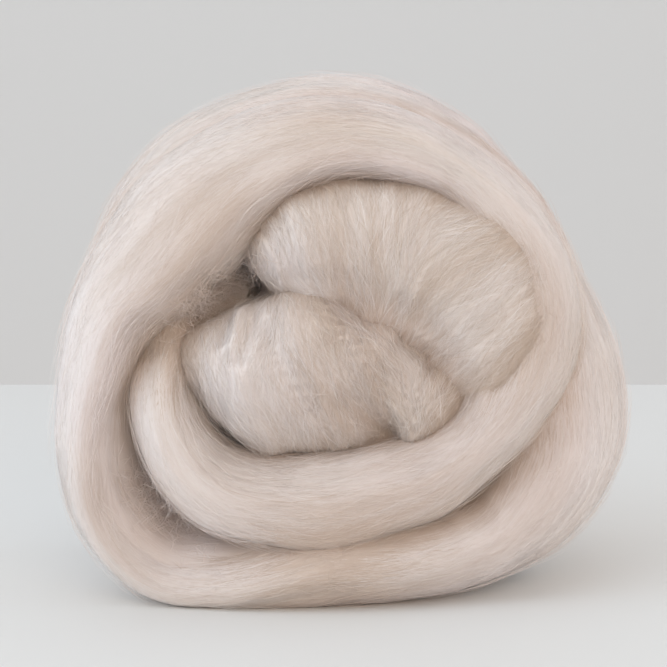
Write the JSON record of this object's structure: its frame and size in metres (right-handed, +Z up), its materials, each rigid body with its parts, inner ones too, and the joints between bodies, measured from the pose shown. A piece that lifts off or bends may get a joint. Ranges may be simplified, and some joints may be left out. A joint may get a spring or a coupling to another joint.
{
  "type": "ball of wool roving",
  "caption": "Soft ball of combed wool roving, one thick strand folded and wound into a coil that stands on its edge.",
  "frame": {"origin": "on the surface that the ball stands on, under the middle of the ball", "axes": "+X to the right as the coil's open front face is seen, +Y away from the front, +Z up"},
  "size_m": [0.1396, 0.0882, 0.1273],
  "materials": {
    "wool": "combed, soft matt"
  },
  "bodies": {
    "root": {"roving_ball": "wool"}
  },
  "joints": []
}
